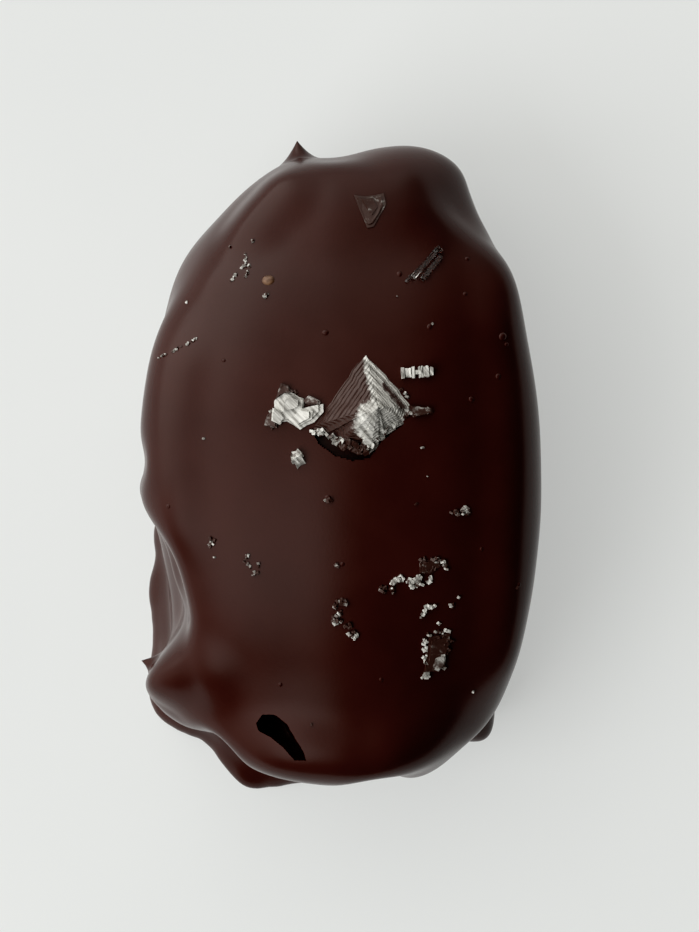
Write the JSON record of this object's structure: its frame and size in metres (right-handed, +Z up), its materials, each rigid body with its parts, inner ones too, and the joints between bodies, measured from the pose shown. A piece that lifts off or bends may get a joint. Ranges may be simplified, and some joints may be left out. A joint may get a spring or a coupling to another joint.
{
  "type": "chocolate-coated stuffed date",
  "caption": "Stuffed date dipped in dark chocolate, an uneven oval with soft folds, set feet and pulled tails, with flaky sea salt stuck on top.",
  "frame": {"origin": "middle of the underside, on the surface that the date lies on", "axes": "+Z up, +Y along the length towards the end with the upright tail, +X across the width to the side without the hollow"},
  "size_m": [0.0322, 0.0524, 0.0234],
  "materials": {
    "dark_chocolate": "thin coat of dark chocolate, set satin, with a soft sheen that brightens in the folds",
    "flaky_salt": "flaky sea salt, white to clear, stepped and broken, smeared with chocolate in places"
  },
  "bodies": {
    "root": {"coated_date": "dark_chocolate"}
  },
  "joints": []
}
